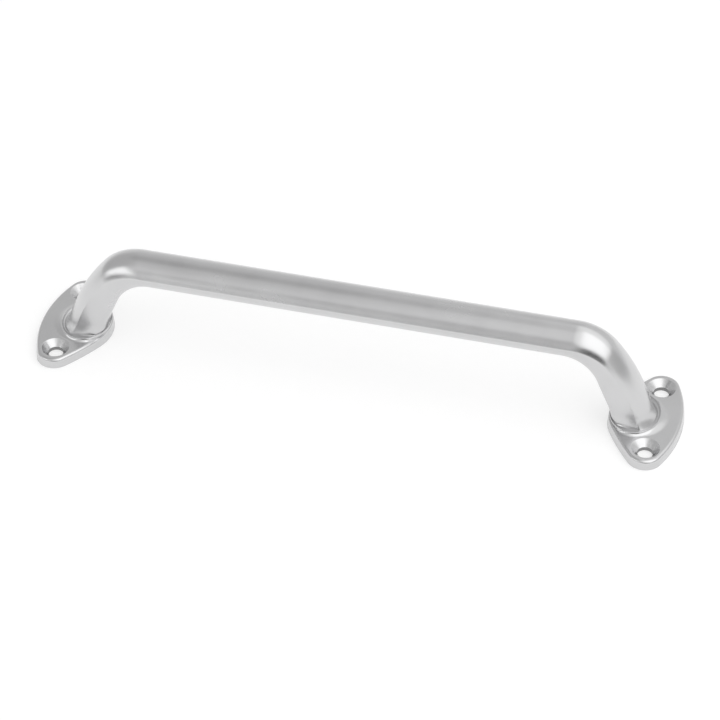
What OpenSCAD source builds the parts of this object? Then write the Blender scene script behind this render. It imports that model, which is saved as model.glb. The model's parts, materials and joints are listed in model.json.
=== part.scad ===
// One-piece cast bow handle with two pointed oval feet, each held by two countersunk screws.
// Millimetres. Z = 0 is the mounting face, +Z points away from it, X runs along the grip.
// The origin lies on the mounting face, midway between the feet.

/* [Grip] */
// Distance between the two hole lines, along the grip
hole_line_span = 210; // [160:5:260]
// Height of the grip's middle above the mounting face
grip_height = 33.1; // [31:0.1:42]
// Width of the grip, across the handle
grip_width = 14.7; // [12:0.1:17]
// Thickness of the grip, away from the mounting face
grip_thick = 12.3; // [10:0.1:14]
// Slope of the sides at the parting ridge, degrees
ridge_angle = 11; // [2:0.5:16]

/* [Legs] */
// Radius of the tight part of the outside of the bends
bend_outer_r = 18.4; // [16:0.2:21]
// Turn of that tight part, degrees
bend_outer_turn = 49.5; // [45:0.5:54]
// Radius of the gentle curve that follows it down the outer side of a leg
leg_outer_r = 66; // [50:1:80]
// Radius of the inside of the bends
bend_inner_r = 14; // [11:0.2:17]
// Slope of the outer side of a leg at its base, degrees
leg_outer_slope = 69; // [66:0.1:72]
// Slope of the inner side of a leg from the mounting face, degrees
leg_inner_slope = 66.7; // [63:0.1:71]
// Length of a leg's base, along the grip
leg_base_long = 14; // [12.8:0.1:14.8]
// Width of a leg's base, across the handle
leg_base_width = 15.1; // [14:0.1:17]
// Share of a leg that lies outside the parting ridge
ridge_share = 0.3; // [0.25:0.01:0.45]
// Fullness of a leg's inner half: 1 is a plain arc, less is squarer
leg_fullness = 0.4; // [0.35:0.05:1]

/* [Feet] */
// Width of a foot, across the handle
foot_width = 46; // [44:0.2:56]
// Reach of a foot outside its hole line
foot_outer = 10.1; // [9:0.1:13]
// Reach of a foot inside its hole line
foot_inner = 15.7; // [15:0.1:19]
// Radius of the two tips
foot_tip_r = 6.4; // [5.6:0.1:7.4]
// Radius of the inner nose
foot_nose_r = 16; // [14:0.5:18]
// Radius of the long flanks beside the nose
foot_flank_r = 86; // [60:2:140]
// Thickness of a foot
foot_thick = 3.7; // [3:0.1:6]
// Radius of a foot's upper edge
foot_edge_r = 0.8; // [0.4:0.1:1]
// Draft of a foot's side wall, as an inset at the upper edge
foot_draft = 0.3; // [0.1:0.05:0.4]

/* [Collars] */
// Length of the rim round a leg's base, along the grip
collar_long = 17.3; // [17:0.1:18.5]
// Width of the rim, across the handle
collar_width = 20.8; // [20:0.1:21.2]
// Height of the rim above the foot's upper face
collar_height = 1.1; // [0.8:0.1:2]
// Ledge between the foot's upper edge at the nose and the rim
collar_ledge = 0.1; // [0.1:0.05:0.4]
// Depth of the groove between the rim and the leg
groove_depth = 0.55; // [0.2:0.05:0.7]
// Width of the flare by which a leg runs out into the groove, at its ridge
leg_flare = 0.9; // [0.4:0.05:1]
// Width of the sweep from the rim to the foot, on the outer side
sweep_outer = 3.2; // [1.5:0.1:3.6]
// Width of the sweep from the rim to the foot, beside the holes
sweep_side = 1.1; // [0.4:0.05:1.2]

/* [Screw holes] */
// Distance between the two holes of a foot
hole_spacing = 31.4; // [31:0.2:36]
// Diameter of the through holes
hole_d = 5.4; // [4.5:0.1:6]
// Diameter of the countersinks at the upper face
sink_d = 9.8; // [8.5:0.1:10.2]
// Included angle of the countersinks, degrees
sink_angle = 90; // [80:1:100]

/* [Hidden] */
// Steps of the loft in a quarter ring, down a bend, a leg, its flare and the sweep, and over a foot's edge
ring_quarter = 16;
bend_steps = 16;
leg_steps = 4;
flare_steps = 4;
sweep_steps = 4;
edge_steps = 3;
// Ring steps on the outer arc, a tip, a flank and half the nose of a foot's outline
outer_steps = 8;
tip_steps = 9;
flank_steps = 9;
nose_steps = 2 * ring_quarter - outer_steps - tip_steps - flank_steps;
ring_count = 4 * ring_quarter;
// Depth by which cutters pass through a face
through = 0.5;
// Angle on its ellipse at which the sweep leaves the rim, and the most of the foot's face that it takes
sweep_start = 40;
sweep_reach = 0.55;
// Share of the foot's rounded edge that is lost where the nose rises into the collar
nose_merge = 0.8;
// Share of a leg's widening that takes place in the bend
bend_widening = 0.5;
// Share of the grip that lies above its parting ridge
grip_share = 0.48;
// Share of a leg's straight part that its flare takes, and the flare's share off the ridge, at both ends
flare_share = 0.4;
flare_end_share = 0.65;
// Share of the groove's width that is its flat floor
groove_floor = 0.5;

hole_x = hole_line_span / 2;
rim_z = foot_thick + collar_height;
leg_base_z = rim_z - groove_depth;
rim_inner_x = hole_x - foot_inner + foot_draft + foot_edge_r * (1 - nose_merge) + collar_ledge;
collar_x = rim_inner_x + collar_long / 2;
base_inner = [collar_x - leg_base_long / 2, leg_base_z];
base_outer = [collar_x + leg_base_long / 2, leg_base_z];
ridge_x = mix(base_outer[0], base_inner[0], ridge_share);
// Turn round the rim's ellipse, from its outer end to the place beside a leg's ridge, degrees
rim_ridge_turn = acos((ridge_x - collar_x) / (collar_long / 2));
grip_top = grip_height + grip_thick / 2;
grip_under = grip_height - grip_thick / 2;

// Foot outline: centres of its arcs, measured from the hole line, and the angles where they meet
tip_y = foot_width / 2 - foot_tip_r;
outer_r = (foot_outer * foot_outer + tip_y * tip_y - foot_tip_r * foot_tip_r)
    / (2 * (foot_outer - foot_tip_r));
outer_centre = [foot_outer - outer_r, 0];
tip_centre = [0, tip_y];
nose_centre = [foot_nose_r - foot_inner, 0];
nose_to_tip = tip_centre - nose_centre;
nose_tip_dist = norm(nose_to_tip);
nose_tip_dir = nose_to_tip / nose_tip_dist;
flank_to_nose = foot_flank_r - foot_nose_r;
flank_to_tip = foot_flank_r - foot_tip_r;
flank_along = (nose_tip_dist * nose_tip_dist + flank_to_nose * flank_to_nose - flank_to_tip * flank_to_tip)
    / (2 * nose_tip_dist);
flank_across = sqrt(flank_to_nose * flank_to_nose - flank_along * flank_along);
flank_centre = nose_centre + flank_along * nose_tip_dir
    + flank_across * [nose_tip_dir[1], -nose_tip_dir[0]];
outer_end = angle_of(tip_centre - outer_centre);
tip_end = angle_of(tip_centre - flank_centre);
flank_end = angle_of(nose_centre - flank_centre);

// Piece to draw

function angle_of(v) = atan2(v[1], v[0]);
function mix(a, b, u) = a + (b - a) * u;
function on_arc(centre, r, angle) = centre + r * [cos(angle), sin(angle)];

// One side of the bow in the X-Z plane: level, round the bend in two radii, down the leg to its base point.
// A side is [level, first radius, its turn, second radius, slope at the base, base point].
outer_side = [grip_top, bend_outer_r, bend_outer_turn, leg_outer_r, leg_outer_slope, base_outer];
inner_side = [grip_under, bend_inner_r, leg_inner_slope, bend_inner_r, leg_inner_slope, base_inner];
function turn_run(s, angle) =
    s[1] * sin(min(angle, s[2])) + s[3] * (sin(max(angle, s[2])) - sin(s[2]));
function turn_drop(s, angle) =
    s[1] * (1 - cos(min(angle, s[2]))) + s[3] * (cos(s[2]) - cos(max(angle, s[2])));
function bend_start_x(s) =
    s[5][0] - (s[0] - turn_drop(s, s[4]) - s[5][1]) / tan(s[4]) - turn_run(s, s[4]);
function bend_point(s, angle) = [bend_start_x(s) + turn_run(s, angle), s[0] - turn_drop(s, angle)];
function side_point(s, bent, along) = mix(bend_point(s, s[4] * bent), s[5], along);

// Place j of a ring: 0 is the outer middle, one quarter on is the ridge, two quarters on the inner middle.
function folded(j) = let(k = j % (2 * ring_quarter)) k <= ring_quarter ? k : 2 * ring_quarter - k;
function on_inner(j) = j > ring_quarter && j < 3 * ring_quarter;
function across_sign(j) = j <= 2 * ring_quarter ? 1 : -1;
function arc_angle(j, ridge) = mix(90, ridge, folded(j) / ring_quarter);
function across_part(j, ridge, power) =
    across_sign(j) * pow(max(cos(arc_angle(j, ridge)), 0) / cos(ridge), on_inner(j) ? power : 1);
function rise_part(j, ridge) = (sin(arc_angle(j, ridge)) - sin(ridge)) / (1 - sin(ridge));

// A ring made of two arcs that meet in the ridge on both sides.
function section_ring(outer, inner, share, half_width, power) =
    let(middle = mix(outer, inner, share))
    [for (j = [0 : ring_count - 1])
        let(p = mix(middle, on_inner(j) ? inner : outer, rise_part(j, ridge_angle)))
        [p[0], half_width * across_part(j, ridge_angle, power), p[1]]];

// A ring of the bow: the shares of the bend and of the leg that lie above it, and its offset in the flare.
function bow_ring(bent, along, offset) =
    section_ring(
        side_point(outer_side, bent, along) + [offset * flare_end_share, 0],
        side_point(inner_side, bent, along) - [offset * flare_end_share, 0],
        mix(grip_share, ridge_share, bent),
        mix(grip_width, leg_base_width, mix(bend_widening * bent, 1, along)) / 2 + offset,
        mix(1, leg_fullness, bent));
function flare_ring(step) =
    let(down = step / flare_steps)
    bow_ring(1, mix(1 - flare_share, 1, down), leg_flare * down * down);

// Foot outline, parallel to the bottom edge at the given inset.
function half_outline(j, inset) =
    j <= outer_steps
    ? on_arc(outer_centre, outer_r - inset, outer_end * j / outer_steps)
    : j <= outer_steps + tip_steps
    ? on_arc(tip_centre, foot_tip_r - inset, mix(outer_end, tip_end, (j - outer_steps) / tip_steps))
    : j <= outer_steps + tip_steps + flank_steps
    ? on_arc(flank_centre, foot_flank_r - inset,
        mix(tip_end, flank_end, (j - outer_steps - tip_steps) / flank_steps))
    : on_arc(nose_centre, foot_nose_r - inset,
        mix(flank_end, 180, (j - outer_steps - tip_steps - flank_steps) / nose_steps));
function half_index(j) = j <= 2 * ring_quarter ? j : ring_count - j;
function foot_ring(inset, z) =
    [for (j = [0 : ring_count - 1])
        let(p = half_outline(half_index(j), inset))
        [hole_x + p[0], across_sign(j) * p[1], z]];

// Room between the foot's outline and the rim, square to the outline; all the room there is where they part.
function per_rim(v) = [v[0] / (collar_long / 2), v[1] / (collar_width / 2)];
function rim_room(k) =
    let(p = per_rim(half_outline(k, 0) + [hole_x - collar_x, 0]),
        d = per_rim(half_outline(k, 0) - half_outline(k, 1)),
        square = pow(p * d, 2) - (d * d) * (p * p - 1))
    square < 0 ? foot_width : (p * d - sqrt(square)) / (d * d);

// The foot's rounded upper edge, which fades where the nose rises into the collar.
function edge_r(k) =
    min(foot_edge_r, max(rim_room(k) - foot_draft - collar_ledge, foot_edge_r * (1 - nose_merge)));
function edge_ring(step) =
    let(angle = 90 * step / edge_steps)
    [for (j = [0 : ring_count - 1])
        let(k = half_index(j),
            r = edge_r(k),
            p = half_outline(k, foot_draft + r * (1 - sin(angle))))
        [hole_x + p[0], across_sign(j) * p[1], foot_thick - r * (1 - cos(angle))]];

// The collar: a groove round the leg, an elliptic rim, and a sweep down to the foot's upper face.
function rim_turn(k) =
    k <= ring_quarter
    ? rim_ridge_turn * k / ring_quarter
    : mix(rim_ridge_turn, 180, (k - ring_quarter) / ring_quarter);
rim_ring =
    [for (j = [0 : ring_count - 1])
        let(angle = rim_turn(half_index(j)))
        [collar_x + collar_long / 2 * cos(angle), across_sign(j) * collar_width / 2 * sin(angle), rim_z]];
leg_foot = flare_ring(flare_steps);
groove_ring =
    [for (j = [0 : ring_count - 1])
        let(p = mix(leg_foot[j], rim_ring[j], groove_floor))
        [p[0], p[1], leg_base_z]];
foot_edge = edge_ring(0);
function sweep_width(j) =
    on_inner(j) ? sweep_side : mix(sweep_outer, sweep_side, pow(sin(90 * folded(j) / ring_quarter), 4));
function sweep_ring(step) =
    let(angle = mix(sweep_start, 90, step / sweep_steps),
        out = 1 - cos(angle) / cos(sweep_start),
        down = 1 - (1 - sin(angle)) / (1 - sin(sweep_start)))
    [for (j = [0 : ring_count - 1])
        let(a = rim_ring[j],
            across = [foot_edge[j][0] - a[0], foot_edge[j][1] - a[1]],
            reach = min(sweep_width(j) / norm(across), sweep_reach))
        [a[0] + across[0] * reach * out, a[1] + across[1] * reach * out, mix(a[2], foot_thick, down)]];

right_rings = concat(
    [for (i = [0 : bend_steps]) bow_ring(i / bend_steps, 0, 0)],
    [for (i = [1 : leg_steps - 1]) bow_ring(1, (1 - flare_share) * i / leg_steps, 0)],
    [for (step = [0 : flare_steps]) flare_ring(step)],
    [groove_ring],
    [for (step = [0 : sweep_steps]) sweep_ring(step)],
    [for (step = [0 : edge_steps]) edge_ring(step)],
    [foot_ring(0, 0)]);
right_count = len(right_rings);
rings = concat(
    [for (i = [right_count - 1 : -1 : 0]) [for (p = right_rings[i]) [-p[0], p[1], p[2]]]],
    right_rings);

function ring_index(i, j) = i * ring_count + j % ring_count;

module casting() {
    last = len(rings) - 1;
    polyhedron(
        points = [for (ring = rings) for (p = ring) p],
        faces = concat(
            [[for (j = [ring_count - 1 : -1 : 0]) ring_index(0, j)]],
            [for (i = [0 : last - 1]) for (j = [0 : ring_count - 1])
                [ring_index(i, j), ring_index(i, j + 1), ring_index(i + 1, j + 1)]],
            [for (i = [0 : last - 1]) for (j = [0 : ring_count - 1])
                [ring_index(i, j), ring_index(i + 1, j + 1), ring_index(i + 1, j)]],
            [[for (j = [0 : ring_count - 1]) ring_index(last, j)]]),
        convexity = 6);
}

// Through hole with its countersink, open at both faces of a foot.
module screw_hole() {
    spread = tan(sink_angle / 2);
    sink_depth = (sink_d - hole_d) / 2 / spread;
    rotate_extrude($fn = 64)
        polygon([
            [0, -through],
            [hole_d / 2, -through],
            [hole_d / 2, foot_thick - sink_depth],
            [sink_d / 2 + through * spread, foot_thick + through],
            [0, foot_thick + through]]);
}

module handle() {
    color("silver")
        difference() {
            casting();
            for (sx = [-1, 1])
                for (sy = [-1, 1])
                    translate([sx * hole_x, sy * hole_spacing / 2, 0])
                        screw_hole();
        }
}

handle();
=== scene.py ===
"""Looks of a one-piece cast aluminium bow handle, seen from above on a white floor."""

import json
import math

import bmesh
import bpy
import numpy as np
from mathutils import Matrix, Vector
from mathutils.geometry import delaunay_2d_cdt


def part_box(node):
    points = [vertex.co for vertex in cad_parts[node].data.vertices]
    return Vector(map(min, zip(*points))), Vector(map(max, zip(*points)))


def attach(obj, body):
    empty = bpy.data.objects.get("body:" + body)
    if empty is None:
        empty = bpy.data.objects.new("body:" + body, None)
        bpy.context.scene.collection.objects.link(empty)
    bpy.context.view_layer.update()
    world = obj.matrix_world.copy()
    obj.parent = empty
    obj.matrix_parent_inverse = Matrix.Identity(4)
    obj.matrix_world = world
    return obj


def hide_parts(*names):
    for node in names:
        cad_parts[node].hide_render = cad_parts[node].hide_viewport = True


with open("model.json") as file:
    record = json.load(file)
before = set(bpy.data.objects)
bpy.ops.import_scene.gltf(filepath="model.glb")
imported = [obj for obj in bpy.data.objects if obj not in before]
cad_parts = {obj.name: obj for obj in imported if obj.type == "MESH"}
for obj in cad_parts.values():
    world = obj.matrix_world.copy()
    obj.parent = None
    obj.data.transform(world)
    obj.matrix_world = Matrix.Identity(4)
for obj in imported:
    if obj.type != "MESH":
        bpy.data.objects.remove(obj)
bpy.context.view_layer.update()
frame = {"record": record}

# Sizes taken from the frame, in millimetres
MM = 0.001
low, high = (np.array(corner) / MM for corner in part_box("handle"))
mounts = {mount["name"]: mount for mount in frame["record"]["mounts"]}
screws = mounts["screw_holes"]["dims"]
HOLE_X = screws["spacing_x_mm"] / 2
HOLE_Y = screws["spacing_y_mm"] / 2
HOLE_R = screws["hole_r_mm"]
GRIP_TOP = high[2]
FOOT_WIDTH = high[1] - low[1]
FOOT_OUTER = high[0] - HOLE_X

# Grip, bends and legs, in millimetres and degrees; a share runs from 0 to 1 between two sides or ends
GRIP_WIDTH = 14.7
GRIP_THICK = 12.3
GRIP_SHARE = 0.48
OUTER_RIDGE_ANGLE = 23.0
INNER_RIDGE_ANGLE = 11.0
BEND_OUTER_R = 18.4
BEND_OUTER_TURN = 49.5
BEND_INNER_R = 14.0
BEND_WIDENING = 0.5
LEG_OUTER_R = 66.0
LEG_OUTER_SLOPE = 69.0
LEG_INNER_SLOPE = 66.7
LEG_BASE_LONG = 14.0
LEG_BASE_WIDTH = 15.1
LEG_RIDGE_SHARE = 0.3
LEG_FULLNESS = 0.4
LEG_FLARE = 0.9
FLARE_SHARE = 0.4
FLARE_OUTER_SHARE = 0.9
FLARE_INNER_SHARE = 0.65
FLARE_POWER = 2
FLARE_PULL = 0.75
FLARE_PULL_POWER = 4

# Feet, in millimetres
FOOT_INNER = 15.7
FOOT_TIP_R = 6.4
FOOT_NOSE_R = 16.0
FOOT_FLANK_R = 86.0
FOOT_THICK = 3.7
FOOT_EDGE_R = 1.1
FOOT_DRAFT = 0.3
FOOT_SOLE_R = 0.2
NOSE_MERGE = 0.855

# Collar round a leg's base, in millimetres and degrees
COLLAR_LONG = 17.3
COLLAR_WIDTH = 20.8
COLLAR_HEIGHT = 1.1
COLLAR_LEDGE = 0.1
GROOVE_DEPTH = 0.55
GROOVE_POWER = 2
RIM_R = 0.14
RIM_NOSE_R = 0.06
SWEEP_OUTER = 3.2
SWEEP_SIDE = 1.1
SWEEP_START = 40.0
SWEEP_REACH = 0.55
SWEEP_POWER = 4

# Countersunk screw holes, in millimetres and degrees
SINK_R = 4.9
SINK_SLOPE = 45.0
SINK_RIM_R = 0.3
HOLE_CHAMFER = 0.12

# Narrow flat border beside each rounding of the feet's upper faces, in millimetres, and its largest share
FLAT_MARGIN = 0.04
FLAT_SHARE = 0.15

# Steps of the mesh, the largest angle in degrees that is shaded smooth, and how a flat face is filled
QUARTER_STEPS = 40
GRIP_STEPS = 24
BEND_STEPS = 56
LEG_STEPS = 18
FLARE_STEPS = 12
GROOVE_STEPS = 6
RIM_STEPS = 6
SWEEP_STEPS = 10
EDGE_STEPS = 8
SOLE_STEPS = 3
SINK_RIM_STEPS = 4
HOLE_STEPS = 96
OUTLINE_STEPS = (20, 22, 19, 19)
SMOOTH_BELOW = 38.0
FILL_INSIDE = 1
FILL_WELD = 1e-7

# Heights and places worked out from the sizes
RIM_Z = FOOT_THICK + COLLAR_HEIGHT
LEG_BASE_Z = RIM_Z - GROOVE_DEPTH
RIM_INNER_X = HOLE_X - FOOT_INNER + FOOT_DRAFT + FOOT_EDGE_R * (1.0 - NOSE_MERGE) + COLLAR_LEDGE
COLLAR_X = RIM_INNER_X + COLLAR_LONG / 2
BASE_INNER = np.array([COLLAR_X - LEG_BASE_LONG / 2, LEG_BASE_Z])
BASE_OUTER = np.array([COLLAR_X + LEG_BASE_LONG / 2, LEG_BASE_Z])

# The bow's two sides: level, first radius, its turn, second radius, slope at the base, base point
OUTER_SIDE = (GRIP_TOP, BEND_OUTER_R, BEND_OUTER_TURN, LEG_OUTER_R, LEG_OUTER_SLOPE, BASE_OUTER)
GRIP_UNDER = GRIP_TOP - GRIP_THICK
INNER_SIDE = (GRIP_UNDER, BEND_INNER_R, LEG_INNER_SLOPE, BEND_INNER_R, LEG_INNER_SLOPE, BASE_INNER)

# Places round a ring: 0 is the outer middle, a quarter on is the ridge, two quarters on the inner middle
RING_COUNT = 4 * QUARTER_STEPS
place = np.arange(RING_COUNT)
half_turn = place % (2 * QUARTER_STEPS)
to_ridge = np.where(half_turn <= QUARTER_STEPS, half_turn, 2 * QUARTER_STEPS - half_turn) / QUARTER_STEPS
on_inner = (place > QUARTER_STEPS) & (place < 3 * QUARTER_STEPS)
across_sign = np.where(place <= 2 * QUARTER_STEPS, 1.0, -1.0)
half_place = np.where(place <= 2 * QUARTER_STEPS, place, RING_COUNT - place)


def mix(a, b, u):
    return a + (b - a) * u


def eased(u):
    v = np.clip(u, 0.0, 1.0)
    return v * v * (3.0 - 2.0 * v)


def with_height(points, z):
    return np.column_stack([points, np.broadcast_to(z, len(points))])


# Bow: the grip, the bends and the legs
def turned(first_r, first_turn, second_r, turn):
    """Run and drop of a bend of two radii after a turn in degrees."""
    turns = (min(turn, first_turn), first_turn, max(turn, first_turn))
    first, kink, second = (math.radians(t) for t in turns)
    run = first_r * math.sin(first) + second_r * (math.sin(second) - math.sin(kink))
    drop = first_r * (1.0 - math.cos(first)) + second_r * (math.cos(kink) - math.cos(second))
    return np.array([run, -drop])


def side_point(side, bent, along):
    """A point of one side in the X-Z plane, after the given shares of the bend and of the leg."""
    level, first_r, first_turn, second_r, slope, base = side
    whole = turned(first_r, first_turn, second_r, slope)
    start_x = base[0] - (level + whole[1] - base[1]) / math.tan(math.radians(slope)) - whole[0]
    point = np.array([start_x, level]) + turned(first_r, first_turn, second_r, slope * bent)
    return mix(point, base, along)


def section_ring(outer, inner, share, half_width, power):
    """A ring of two arcs that meet in a ridge on both sides; the power makes the inner one squarer."""
    ridge = np.radians(np.where(on_inner, INNER_RIDGE_ANGLE, OUTER_RIDGE_ANGLE))
    angle = mix(math.pi / 2, ridge, to_ridge)
    rise = (np.sin(angle) - np.sin(ridge)) / (1.0 - np.sin(ridge))
    reach = np.maximum(np.cos(angle), 0.0) / np.cos(ridge)
    across = across_sign * reach ** np.where(on_inner, power, 1.0)
    middle = mix(outer, inner, share)
    ends = np.where(on_inner[:, None], inner, outer)
    points = mix(middle, ends, rise[:, None])
    return np.column_stack([points[:, 0], half_width * across, points[:, 1]])


def bow_ring(bent, along=0.0, offset=0.0):
    """A ring of the bow after the given shares of the bend and of the leg, let out by an offset."""
    level = np.array([offset, 0.0])
    widening = mix(BEND_WIDENING * bent, 1.0, along)
    return section_ring(
        side_point(OUTER_SIDE, bent, along) + level * FLARE_OUTER_SHARE,
        side_point(INNER_SIDE, bent, along) - level * FLARE_INNER_SHARE,
        mix(GRIP_SHARE, LEG_RIDGE_SHARE, bent),
        mix(GRIP_WIDTH, LEG_BASE_WIDTH, widening) / 2 + offset,
        mix(1.0, LEG_FULLNESS, bent),
    )


# Foot outline: four arcs on each half, with the angles at which they meet
tip_y = FOOT_WIDTH / 2 - FOOT_TIP_R
outer_r = (FOOT_OUTER**2 + tip_y**2 - FOOT_TIP_R**2) / (2 * (FOOT_OUTER - FOOT_TIP_R))
outer_centre = np.array([FOOT_OUTER - outer_r, 0.0])
tip_centre = np.array([0.0, tip_y])
nose_centre = np.array([FOOT_NOSE_R - FOOT_INNER, 0.0])


def flank_centre_point():
    """Centre of the flank's arc, which touches the nose's and the tip's arcs from outside."""
    to_tip = tip_centre - nose_centre
    distance = np.linalg.norm(to_tip)
    along = to_tip / distance
    nose_reach = FOOT_FLANK_R - FOOT_NOSE_R
    tip_reach = FOOT_FLANK_R - FOOT_TIP_R
    step = (distance**2 + nose_reach**2 - tip_reach**2) / (2 * distance)
    return nose_centre + step * along + math.sqrt(nose_reach**2 - step**2) * np.array([along[1], -along[0]])


def angle_of(vector):
    return math.atan2(vector[1], vector[0])


flank_centre = flank_centre_point()
outline_angles = [
    0.0,
    angle_of(tip_centre - outer_centre),
    angle_of(tip_centre - flank_centre),
    angle_of(nose_centre - flank_centre),
    math.pi,
]
outline_arcs = [
    (outer_centre, outer_r),
    (tip_centre, FOOT_TIP_R),
    (flank_centre, FOOT_FLANK_R),
    (nose_centre, FOOT_NOSE_R),
]


def outline_frame():
    """Centre, radius and direction of the foot's outline at every place of a ring."""
    ends = np.concatenate([[0], np.cumsum(OUTLINE_STEPS)])
    arc = np.clip(np.searchsorted(ends, half_place, side="left") - 1, 0, len(OUTLINE_STEPS) - 1)
    part = (half_place - ends[arc]) / np.array(OUTLINE_STEPS)[arc]
    angles = np.array(outline_angles)
    angle = mix(angles[arc], angles[arc + 1], part)
    centre = np.array([c for c, _ in outline_arcs])[arc]
    radius = np.array([r for _, r in outline_arcs])[arc]
    return centre, radius, np.column_stack([np.cos(angle), np.sin(angle)])


arc_centre, arc_radius, arc_direction = outline_frame()


def rim_room():
    """Room from the foot's outline to the rim, square to the outline, where the two lie side by side."""
    half_axes = np.array([COLLAR_LONG, COLLAR_WIDTH]) / 2
    start = (arc_centre + arc_direction * arc_radius[:, None] + [HOLE_X - COLLAR_X, 0.0]) / half_axes
    step = arc_direction / half_axes
    toward = np.sum(start * step, axis=1)
    length = np.sum(step**2, axis=1)
    square = toward**2 - length * (np.sum(start**2, axis=1) - 1.0)
    return np.where(square < 0.0, FOOT_WIDTH, (toward - np.sqrt(np.maximum(square, 0.0))) / length)


rim_radius = mix(RIM_R, RIM_NOSE_R, on_inner * eased(1.0 - to_ridge))
edge_room = rim_room() - FOOT_DRAFT - np.maximum(COLLAR_LEDGE, rim_radius + FLAT_MARGIN)
edge_radius = np.clip(edge_room, FOOT_EDGE_R * (1.0 - NOSE_MERGE), FOOT_EDGE_R)


def outline(inset):
    points = arc_centre + arc_direction * (arc_radius - inset)[:, None]
    return np.column_stack([HOLE_X + points[:, 0], across_sign * points[:, 1]])


def edge_ring(angle):
    inset = FOOT_DRAFT + edge_radius * (1.0 - math.sin(angle))
    return with_height(outline(inset), FOOT_THICK - edge_radius * (1.0 - math.cos(angle)))


def sole_ring(angle):
    inset = np.full(RING_COUNT, FOOT_SOLE_R * (1.0 - math.cos(angle)))
    return with_height(outline(inset), FOOT_SOLE_R * (1.0 - math.sin(angle)))


# Collar: the leg's flare, a groove round it, an elliptic rim and a sweep down to the foot's upper face
ridge_x = mix(BASE_OUTER[0], BASE_INNER[0], LEG_RIDGE_SHARE)
ridge_turn = math.acos((ridge_x - COLLAR_X) / (COLLAR_LONG / 2))
rim_turn = np.interp(half_place, [0, QUARTER_STEPS, 2 * QUARTER_STEPS], [0.0, ridge_turn, math.pi])


def rim_ring(angle):
    """A ring over the rounded rim: angle 0 is its foot beside the groove, a half turn its outer foot."""
    offset = -rim_radius * math.cos(angle)
    x = COLLAR_X + (COLLAR_LONG / 2 + offset) * np.cos(rim_turn)
    y = across_sign * (COLLAR_WIDTH / 2 + offset) * np.sin(rim_turn)
    return np.column_stack([x, y, RIM_Z - rim_radius * (1.0 - math.sin(angle))])


def flare_ring(down):
    """A ring of the flare by which a leg runs out into the groove, pulled to the rim on the inner side."""
    ring = bow_ring(1.0, mix(1.0 - FLARE_SHARE, 1.0, down), LEG_FLARE * down**FLARE_POWER)
    pull = FLARE_PULL * down**FLARE_PULL_POWER * on_inner * eased(1.0 - to_ridge)
    return mix(ring, rim_ring(0.0), pull[:, None])


def collar_rings(leg_foot):
    """Rings of the groove, from the leg's foot to the rim, and of the rim itself."""
    rim = [rim_ring(angle) for angle in np.linspace(0.0, math.pi, RIM_STEPS + 1)]
    groove = []
    for share in np.linspace(0.0, 1.0, GROOVE_STEPS + 1)[1:-1]:
        ring = mix(leg_foot, rim[0], share)
        ring[:, 2] = mix(leg_foot[:, 2], rim[0][:, 2], share**GROOVE_POWER)
        groove.append(ring)
    return groove + rim


def sweep_rings(start, end):
    """Rings of the concave sweep from the rim to the foot's face, and two flat ones that frame the face."""
    across = end[:, :2] - start[:, :2]
    distance = np.linalg.norm(across, axis=1)
    side = np.sin(to_ridge * math.pi / 2) ** SWEEP_POWER
    width = np.where(on_inner, SWEEP_SIDE, mix(SWEEP_OUTER, SWEEP_SIDE, side))
    reach = np.minimum(width / distance, SWEEP_REACH)
    first = math.radians(SWEEP_START)
    rings = []
    for angle in np.linspace(first, math.pi / 2, SWEEP_STEPS + 1)[1:]:
        out = 1.0 - math.cos(angle) / math.cos(first)
        down = 1.0 - (1.0 - math.sin(angle)) / (1.0 - math.sin(first))
        points = start[:, :2] + across * (reach * out)[:, None]
        rings.append(with_height(points, mix(start[:, 2], FOOT_THICK, down)))
    margin = np.minimum(FLAT_MARGIN / distance, (1.0 - reach) * FLAT_SHARE)
    for share in (reach + margin, 1.0 - margin):
        points = start[:, :2] + across * share[:, None]
        rings.append(with_height(points, FOOT_THICK))
    return rings


def hole_rings(side):
    """Rings of a countersunk hole from the foot's face to its sole."""
    slope = math.radians(SINK_SLOPE)
    rim = SINK_R + SINK_RIM_R * math.tan(slope / 2)
    profile = [(rim + FLAT_MARGIN, FOOT_THICK)]
    for angle in np.linspace(0.0, slope, SINK_RIM_STEPS + 1):
        drop = SINK_RIM_R * (1.0 - math.cos(angle))
        profile.append((rim - SINK_RIM_R * math.sin(angle), FOOT_THICK - drop))
    profile.append((HOLE_R, FOOT_THICK - (SINK_R - HOLE_R) * math.tan(slope)))
    profile.append((HOLE_R, HOLE_CHAMFER))
    profile.append((HOLE_R + HOLE_CHAMFER, 0.0))
    turn = np.linspace(0.0, 2 * math.pi, HOLE_STEPS, endpoint=False)
    circle = np.column_stack([np.cos(turn), np.sin(turn)])
    centre = np.array([HOLE_X, side * HOLE_Y])
    return [with_height(centre + circle * radius, z) for radius, z in profile]


# Finishes, numbered as the material slots, the bore's with painted shade in its darker colour; a hole's
# strips: border, rounded rim, cone, bore, chamfer
CAST, MACHINED, BORE_PAINTED_SHADE = range(3)
HOLE_FINISHES = [CAST] + [MACHINED] * (SINK_RIM_STEPS + 1) + [BORE_PAINTED_SHADE] * 2


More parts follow.
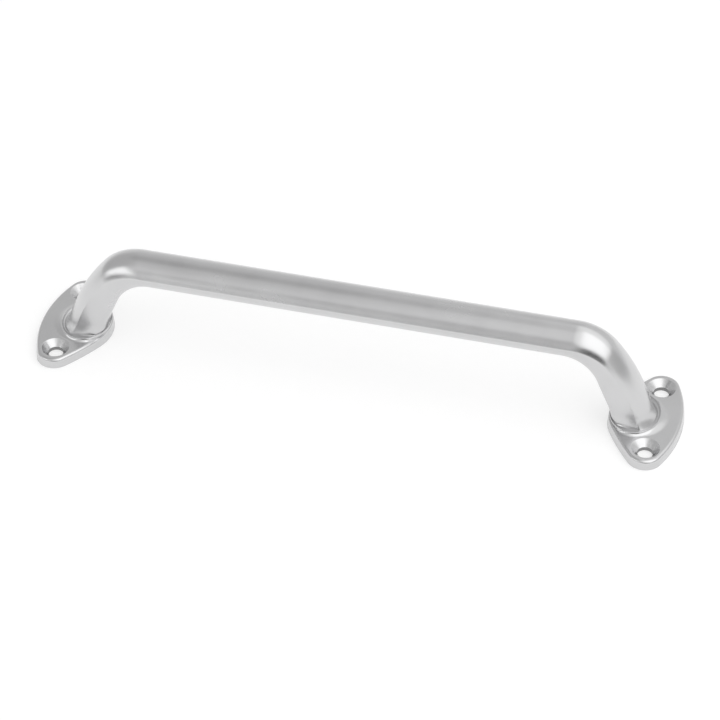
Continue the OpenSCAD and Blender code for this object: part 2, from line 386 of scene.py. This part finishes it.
class Shell:
    """Collects the points and faces of one closed surface."""

    def __init__(self):
        self.points = []
        self.faces = []
        self.finish = []

    def ring(self, points):
        first = len(self.points)
        self.points.extend(map(tuple, points))
        return np.arange(first, first + len(points))

    def strip(self, a, b, finish=CAST):
        for i in range(len(a)):
            k = (i + 1) % len(a)
            self.faces.append((a[i], a[k], b[k], b[i]))
            self.finish.append(finish)

    def skin(self, rings, finishes=None):
        loops = [self.ring(ring) for ring in rings]
        for i in range(len(loops) - 1):
            self.strip(loops[i], loops[i + 1], finishes[i] if finishes else CAST)
        return loops

    def fill(self, outer, inners):
        """Triangles on the flat face between an outer loop and the loops inside it."""
        loops = [outer] + inners
        index = np.concatenate(loops)
        flat = [Vector(self.points[i][:2]) for i in index]
        edges = []
        start = 0
        for loop in loops:
            count = len(loop)
            edges.extend((start + i, start + (i + 1) % count) for i in range(count))
            start += count
        _, _, triangles, origin, _, _ = delaunay_2d_cdt(flat, edges, [], FILL_INSIDE, FILL_WELD)
        outlines = [np.array([self.points[i][:2] for i in loop]) for loop in inners]
        for triangle in triangles:
            corners = [index[origin[v][0]] for v in triangle]
            middle = np.mean([self.points[c][:2] for c in corners], axis=0)
            if not any(inside(middle, loop) for loop in outlines):
                self.faces.append(tuple(corners))
                self.finish.append(CAST)


def inside(point, loop):
    """Whether a point of the plane lies inside a closed loop."""
    nearer = np.roll(loop, -1, axis=0)
    crosses = (loop[:, 1] > point[1]) != (nearer[:, 1] > point[1])
    rise = np.where(crosses, nearer[:, 1] - loop[:, 1], 1.0)
    x = loop[:, 0] + (point[1] - loop[:, 1]) / rise * (nearer[:, 0] - loop[:, 0])
    return np.count_nonzero(crosses & (point[0] < x)) % 2 == 1


def foot_side(shell, side):
    """One bend, leg and foot, at the end that the sign of side gives. Gives the bend's first loop back."""
    flip = np.array([side, 1.0, 1.0])
    bend = [bow_ring(bent) for bent in np.linspace(0.0, 1.0, BEND_STEPS + 1)]
    leg = [bow_ring(1.0, along) for along in np.linspace(0.0, 1.0 - FLARE_SHARE, LEG_STEPS + 1)[1:-1]]
    flare = [flare_ring(down) for down in np.linspace(0.0, 1.0, FLARE_STEPS + 1)]
    rings = bend + leg + flare + collar_rings(flare[-1])
    *sweep, face_edge = sweep_rings(rings[-1], edge_ring(0.0))
    edge = [edge_ring(angle) for angle in np.linspace(0.0, math.pi / 2, EDGE_STEPS + 1)]
    sole = [sole_ring(angle) for angle in np.linspace(0.0, math.pi / 2, SOLE_STEPS + 1)]
    upper = shell.skin([ring * flip for ring in rings + sweep])
    lower = shell.skin([ring * flip for ring in [face_edge] + edge + sole])
    holes = [shell.skin([ring * flip for ring in hole_rings(s)], HOLE_FINISHES) for s in (-1, 1)]
    shell.fill(lower[0], [upper[-1]] + [hole[0] for hole in holes])
    shell.fill(lower[-1], [hole[-1] for hole in holes])
    return upper[0]


def build_handle():
    shell = Shell()
    right = foot_side(shell, 1)
    left = foot_side(shell, -1)
    end = np.array([shell.points[i] for i in right])
    loops = [left]
    for u in np.linspace(-1.0, 1.0, GRIP_STEPS + 1)[1:-1]:
        loops.append(shell.ring(end * np.array([u, 1.0, 1.0])))
    loops.append(right)
    for a, b in zip(loops, loops[1:]):
        shell.strip(a, b)
    mesh = bpy.data.meshes.new("handle_casting")
    mesh.from_pydata((np.array(shell.points) * MM).tolist(), [], shell.faces)
    mesh.polygons.foreach_set("material_index", np.array(shell.finish, dtype=np.int32))
    solid = bmesh.new()
    solid.from_mesh(mesh)
    bmesh.ops.recalc_face_normals(solid, faces=solid.faces)
    solid.to_mesh(mesh)
    solid.free()
    mesh.shade_smooth()
    mesh.set_sharp_from_angle(angle=math.radians(SMOOTH_BELOW))
    handle = bpy.data.objects.new("handle_casting", mesh)
    bpy.context.scene.collection.objects.link(handle)
    return handle


# Materials: the metal's colour, the part of a noise that counts, and the cast grain with its relief
ALUMINIUM = (0.635, 0.635, 0.64)
NOISE_LOW = 0.3
NOISE_HIGH = 0.7
GRAIN_SCALE = 1900.0
GRAIN_DETAIL = 3.0
GRAIN_RELIEF = 0.002 * MM


def add_noise(nodes, links, coordinates, scale, detail):
    noise = nodes.new("ShaderNodeTexNoise")
    noise.inputs["Scale"].default_value = scale
    noise.inputs["Detail"].default_value = detail
    links.new(coordinates, noise.inputs["Vector"])
    return noise.outputs["Fac"]


def add_range(nodes, links, value, low_out, high_out):
    spread = nodes.new("ShaderNodeMapRange")
    spread.inputs["From Min"].default_value = NOISE_LOW
    spread.inputs["From Max"].default_value = NOISE_HIGH
    spread.inputs["To Min"].default_value = low_out
    spread.inputs["To Max"].default_value = high_out
    links.new(value, spread.inputs["Value"])
    return spread.outputs["Result"]


def add_bump(nodes, links, height, distance):
    bump = nodes.new("ShaderNodeBump")
    bump.inputs["Distance"].default_value = distance
    links.new(height, bump.inputs["Height"])
    return bump


def add_tone(nodes, links, value, darker, lighter):
    """A grey that varies between two shares of the aluminium's colour."""
    ramp = nodes.new("ShaderNodeValToRGB")
    stops = ((NOISE_LOW, darker), (NOISE_HIGH, lighter))
    for element, (position, share) in zip(ramp.color_ramp.elements, stops):
        element.position = position
        element.color = tuple(c * share for c in ALUMINIUM) + (1.0,)
    links.new(value, ramp.inputs["Fac"])
    return ramp.outputs["Color"]


def aluminium(name, scale, detail, shares, roughness, relief, grainy=False):
    """A metal whose tone, roughness and relief follow one noise; a grainy one has fine grain on top."""
    material = bpy.data.materials.new(name)
    material.use_nodes = True
    nodes, links = material.node_tree.nodes, material.node_tree.links
    surface = nodes["Principled BSDF"]
    surface.inputs["Metallic"].default_value = 1.0
    where = nodes.new("ShaderNodeTexCoord").outputs["Object"]
    noise = add_noise(nodes, links, where, scale, detail)
    links.new(add_tone(nodes, links, noise, *shares), surface.inputs["Base Color"])
    links.new(add_range(nodes, links, noise, *roughness), surface.inputs["Roughness"])
    bump = add_bump(nodes, links, noise, relief)
    if grainy:
        grain = add_noise(nodes, links, where, GRAIN_SCALE, GRAIN_DETAIL)
        fine = add_bump(nodes, links, grain, GRAIN_RELIEF)
        links.new(bump.outputs["Normal"], fine.inputs["Normal"])
        bump = fine
    links.new(bump.outputs["Normal"], surface.inputs["Normal"])
    return material


def cast_aluminium():
    return aluminium(
        "cast_aluminium",
        scale=70.0,
        detail=4.0,
        shares=(0.97, 1.03),
        roughness=(0.22, 0.28),
        relief=0.01 * MM,
        grainy=True,
    )


def machined_aluminium():
    return aluminium(
        "machined_aluminium",
        scale=900.0,
        detail=3.0,
        shares=(0.98, 1.05),
        roughness=(0.22, 0.28),
        relief=0.004 * MM,
    )


# Painted shade: the bore's colour is darkened to under half the aluminium's to stand for the shade inside
# the hole; its higher roughness is the drilled finish
def bore_painted_shade_aluminium():
    return aluminium(
        "bore_painted_shade_aluminium",
        scale=1200.0,
        detail=3.0,
        shares=(0.42, 0.52),
        roughness=(0.45, 0.55),
        relief=0.01 * MM,
    )


# Floor: its side in metres, its paleness, and the glow that the camera and reflections see
FLOOR_SIZE = 12.0
FLOOR_ALBEDO = 0.55
FLOOR_GLOW = 0.52


def white_floor():
    """A pale floor that reads as white to the camera and in reflections, and keeps the object's shadow."""
    material = bpy.data.materials.new("floor_white")
    material.use_nodes = True
    nodes, links = material.node_tree.nodes, material.node_tree.links
    nodes.clear()
    output = nodes.new("ShaderNodeOutputMaterial")
    path = nodes.new("ShaderNodeLightPath")
    seen = path.outputs["Is Camera Ray"]
    for ray in ("Is Glossy Ray", "Is Transmission Ray"):
        either = nodes.new("ShaderNodeMath")
        either.operation = "MAXIMUM"
        links.new(seen, either.inputs[0])
        links.new(path.outputs[ray], either.inputs[1])
        seen = either.outputs["Value"]
    plain = nodes.new("ShaderNodeBsdfDiffuse")
    plain.inputs["Color"].default_value = (FLOOR_ALBEDO, FLOOR_ALBEDO, FLOOR_ALBEDO, 1.0)
    glow = nodes.new("ShaderNodeEmission")
    glow.inputs["Strength"].default_value = FLOOR_GLOW
    lit = nodes.new("ShaderNodeAddShader")
    links.new(plain.outputs["BSDF"], lit.inputs[0])
    links.new(glow.outputs["Emission"], lit.inputs[1])
    choice = nodes.new("ShaderNodeMixShader")
    links.new(seen, choice.inputs["Fac"])
    links.new(plain.outputs["BSDF"], choice.inputs[1])
    links.new(lit.outputs["Shader"], choice.inputs[2])
    links.new(choice.outputs["Shader"], output.inputs["Surface"])
    return material


def build_floor():
    mesh = bpy.data.meshes.new("floor")
    half = FLOOR_SIZE / 2
    corners = [(-half, -half, 0.0), (half, -half, 0.0), (half, half, 0.0), (-half, half, 0.0)]
    mesh.from_pydata(corners, [], [(0, 1, 2, 3)])
    mesh.materials.append(white_floor())
    floor = bpy.data.objects.new("floor", mesh)
    bpy.context.scene.collection.objects.link(floor)


def direction(azimuth, elevation):
    """A unit vector; azimuth 0 points to -Y, 90 to +X."""
    a, e = math.radians(azimuth), math.radians(elevation)
    return Vector((math.sin(a) * math.cos(e), -math.cos(a) * math.cos(e), math.sin(e)))


def softbox(name, x_span, y_span, height, radiance):
    """A level panel of light over the object; its light adds to the room's."""
    light = bpy.data.lights.new(name, "AREA")
    light.shape = "RECTANGLE"
    light.size = x_span[1] - x_span[0]
    light.size_y = y_span[1] - y_span[0]
    light.energy = math.pi * light.size * light.size_y * radiance
    lamp = bpy.data.objects.new(name, light)
    lamp.location = (sum(x_span) / 2, sum(y_span) / 2, height)
    bpy.context.scene.collection.objects.link(lamp)


# The room's light, and its darker parts: azimuth, elevation, inner and outer half angle, loss of light
WORLD_COLOUR = (1.0, 1.0, 1.0, 1.0)
WORLD_LEVEL = 0.79
WORLD_DIMS = (
    (-140.0, 73.0, 6.0, 25.0, 0.14),  # overhead, towards the back
    (-165.0, 39.0, 8.0, 24.0, 0.1),  # back
    (-92.0, 38.0, 25.0, 56.0, 0.22),  # left
    (18.0, 4.0, 13.0, 26.0, 0.76),  # low at the front, right of the middle
    (-42.0, 0.0, 11.0, 22.0, 0.52),  # low at the front left
    (-12.0, 27.0, 3.0, 13.0, 0.26),  # front, halfway up
    (-10.0, 3.0, 3.0, 10.0, 0.2),  # low at the front, between the two others
    (85.0, 3.0, 15.0, 40.0, 0.22),  # low at the right
)


def build_world():
    """Even studio light with softly darker parts."""
    world = bpy.data.worlds.new("studio")
    bpy.context.scene.world = world
    world.use_nodes = True
    nodes, links = world.node_tree.nodes, world.node_tree.links
    background = nodes["Background"]
    background.inputs["Color"].default_value = WORLD_COLOUR
    where = nodes.new("ShaderNodeTexCoord").outputs["Generated"]
    level = None
    for azimuth, elevation, inner, outer, loss in WORLD_DIMS:
        toward = nodes.new("ShaderNodeVectorMath")
        toward.operation = "DOT_PRODUCT"
        toward.inputs[1].default_value = direction(azimuth, elevation)
        links.new(where, toward.inputs[0])
        dim = nodes.new("ShaderNodeMapRange")
        dim.interpolation_type = "SMOOTHSTEP"
        dim.inputs["From Min"].default_value = math.cos(math.radians(outer))
        dim.inputs["From Max"].default_value = math.cos(math.radians(inner))
        dim.inputs["To Min"].default_value = 0.0
        dim.inputs["To Max"].default_value = loss
        links.new(toward.outputs["Value"], dim.inputs["Value"])
        less = nodes.new("ShaderNodeMath")
        less.operation = "SUBTRACT"
        less.inputs[0].default_value = WORLD_LEVEL
        if level is not None:
            links.new(level, less.inputs[0])
        links.new(dim.outputs["Result"], less.inputs[1])
        level = less.outputs["Value"]
    links.new(level, background.inputs["Strength"])


# Camera, fitted to the photo's outline, in degrees and metres
CAMERA_AZIMUTH = 14.948
CAMERA_ELEVATION = 41.152
CAMERA_ROLL = -0.417
CAMERA_DISTANCE = 0.9939
CAMERA_TARGET = Vector((0.001431, 0.000161, 0.007195))
CAMERA_CLIP_END = 50.0
CAMERA_FOCAL_PX = 2863.06
IMAGE_PX = 720
SENSOR_MM = 36.0


def build_camera():
    back = direction(CAMERA_AZIMUTH, CAMERA_ELEVATION)
    level = Vector((0.0, 0.0, 1.0)).cross(back).normalized()
    upright = back.cross(level)
    roll = math.radians(CAMERA_ROLL)
    right = level * math.cos(roll) + upright * math.sin(roll)
    up = upright * math.cos(roll) - level * math.sin(roll)
    data = bpy.data.cameras.new("camera")
    data.sensor_width = SENSOR_MM
    data.lens = CAMERA_FOCAL_PX / IMAGE_PX * SENSOR_MM
    data.clip_end = CAMERA_CLIP_END
    camera = bpy.data.objects.new("camera", data)
    turn = Matrix((right, up, back)).transposed().to_4x4()
    camera.matrix_world = Matrix.Translation(CAMERA_TARGET + back * CAMERA_DISTANCE) @ turn
    bpy.context.scene.collection.objects.link(camera)
    bpy.context.scene.camera = camera


handle = build_handle()
# The third finish, on the bores, carries painted shade in its darker colour
for finish in (cast_aluminium, machined_aluminium, bore_painted_shade_aluminium):
    handle.data.materials.append(finish())
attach(handle, "root")
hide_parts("handle")

build_floor()
build_world()
softbox("softbox_right", x_span=(0.3, 3.5), y_span=(-3.2, 0.3), height=1.5, radiance=0.46)
softbox("softbox_right_wide", x_span=(-0.1, 3.6), y_span=(-3.2, 1.5), height=1.55, radiance=0.34)
softbox("softbox_left", x_span=(-8.0, -1.4), y_span=(-4.8, -1.25), height=1.5, radiance=0.92)
build_camera()
bpy.context.scene.view_settings.view_transform = "Standard"
